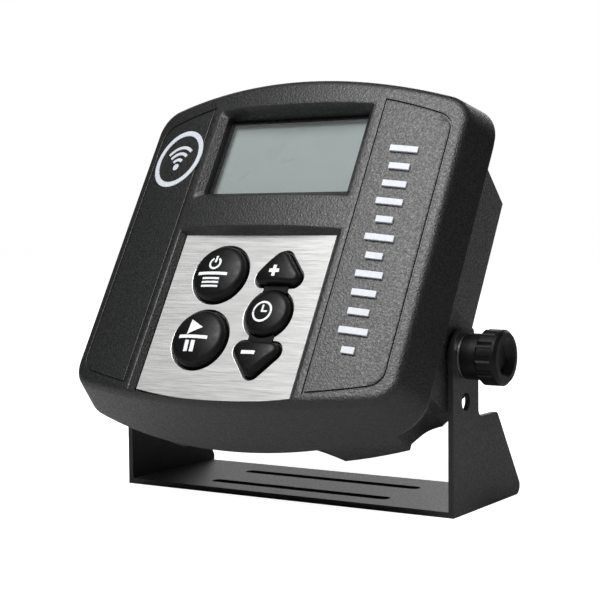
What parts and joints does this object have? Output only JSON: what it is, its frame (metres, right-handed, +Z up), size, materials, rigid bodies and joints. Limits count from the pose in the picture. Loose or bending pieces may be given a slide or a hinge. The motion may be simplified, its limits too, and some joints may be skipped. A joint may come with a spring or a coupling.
{
  "type": "sound unit control head",
  "caption": "Tilting electronic control head on a U bracket, with a display window, domed rubber keys in a metal plate and two clamp knobs.",
  "frame": {"origin": "centre of the bracket base's bottom face", "axes": "+Z up, front face towards -Y, +X to the right seen from the front"},
  "size_m": [0.168, 0.1064, 0.1502],
  "materials": {
    "bracket_paint": "satin black powder coat",
    "housing_front": "fine grained",
    "housing_rear": "fine grained",
    "seal_rubber": "matt",
    "key_rubber": "satin",
    "carbon_pill": "matt",
    "window_clear": "clear",
    "display_glass": "grey-green reflective",
    "display_light": "white diffuser",
    "tin_plate": "plated",
    "plate_silver": "brushed",
    "circuit_board": "solder mask",
    "chip_black": "moulded",
    "ribbon_grey": "flat cable",
    "can_blue": "sleeved",
    "fin_aluminium": "extruded",
    "steel": "turned",
    "contact_gold": "plated",
    "insert_brass": "knurled",
    "mark_white": "printed white",
    "knob_plastic": "satin",
    "socket_plastic": "satin"
  },
  "bodies": {
    "bracket": {"bracket": "bracket_paint"},
    "head": {"front_housing": "housing_front", "rear_housing": "housing_rear", "housing_gasket": "seal_rubber", "housing_screws": "steel", "display_window": "window_clear", "window_seal": "seal_rubber", "lcd_frame": "tin_plate", "lcd_glass": "display_glass", "lcd_backlight": "display_light", "lcd_board": "circuit_board", "lcd_header": "chip_black", "keypad_plate": "plate_silver", "keypad_mat": "key_rubber", "main_board": "circuit_board", "board_chips": "chip_black", "board_screws": "steel", "board_cable": "ribbon_grey", "amplifier_board": "circuit_board", "amplifier_chip": "chip_black", "heat_sink": "fin_aluminium", "capacitors": "can_blue", "amplifier_screws": "steel", "power_inlet": "socket_plastic", "power_pins": "contact_gold", "speaker_socket": "socket_plastic", "speaker_pins": "contact_gold", "socket_nuts": "steel", "pivot_inserts": "insert_brass", "friction_washers": "seal_rubber", "badge_ring": "mark_white", "badge_emblem": "mark_white", "side_bars": "mark_white"},
    "power_key": {"key_power": "key_rubber", "pill_power": "carbon_pill"},
    "play_key": {"key_play": "key_rubber", "pill_play": "carbon_pill"},
    "plus_key": {"key_plus": "key_rubber", "pill_plus": "carbon_pill"},
    "delay_key": {"key_delay": "key_rubber", "pill_delay": "carbon_pill"},
    "minus_key": {"key_minus": "key_rubber", "pill_minus": "carbon_pill"},
    "right_washer": {"washer_right": "steel"},
    "right_knob": {"knob_right": "knob_plastic", "stud_right": "steel"},
    "left_washer": {"washer_left": "steel"},
    "left_knob": {"knob_left": "knob_plastic", "stud_left": "steel"}
  },
  "joints": [
    {"name": "head_tilt", "type": "hinge", "parent": "bracket", "child": "head", "pos_m": [0, -0.0159, 0.0536], "axis": [1, 0, 0], "range_deg": [-60, 40]},
    {"name": "press_power", "type": "slide", "parent": "head", "child": "power_key", "axis": [0, 0.8616, -0.5075], "range_m": [0, 0.0009], "stiffness_N_per_m": 1500, "springref_m": -0.0003},
    {"name": "press_play", "type": "slide", "parent": "head", "child": "play_key", "axis": [0, 0.8616, -0.5075], "range_m": [0, 0.0009], "stiffness_N_per_m": 1500, "springref_m": -0.0003},
    {"name": "press_plus", "type": "slide", "parent": "head", "child": "plus_key", "axis": [0, 0.8616, -0.5075], "range_m": [0, 0.0009], "stiffness_N_per_m": 1500, "springref_m": -0.0003},
    {"name": "press_delay", "type": "slide", "parent": "head", "child": "delay_key", "axis": [0, 0.8616, -0.5075], "range_m": [0, 0.0009], "stiffness_N_per_m": 1500, "springref_m": -0.0003},
    {"name": "press_minus", "type": "slide", "parent": "head", "child": "minus_key", "axis": [0, 0.8616, -0.5075], "range_m": [0, 0.0009], "stiffness_N_per_m": 1500, "springref_m": -0.0003},
    {"name": "right_knob_draw", "type": "slide", "parent": "head", "child": "right_washer", "axis": [1, 0, 0], "range_m": [0, 0.0021]},
    {"name": "right_knob_turn", "type": "hinge", "parent": "right_washer", "child": "right_knob", "pos_m": [0.076, -0.0159, 0.0536], "axis": [1, 0, 0], "range_deg": [0, 720]},
    {"name": "left_knob_draw", "type": "slide", "parent": "head", "child": "left_washer", "axis": [-1, 0, 0], "range_m": [0, 0.0021]},
    {"name": "left_knob_turn", "type": "hinge", "parent": "left_washer", "child": "left_knob", "pos_m": [-0.076, -0.0159, 0.0536], "axis": [-1, 0, 0], "range_deg": [0, 720]}
  ],
  "couplings": [
    {"joint": "right_knob_draw", "follows": "right_knob_turn", "m_per_rad": 0.00015915},
    {"joint": "left_knob_draw", "follows": "left_knob_turn", "m_per_rad": 0.00015915}
  ]
}
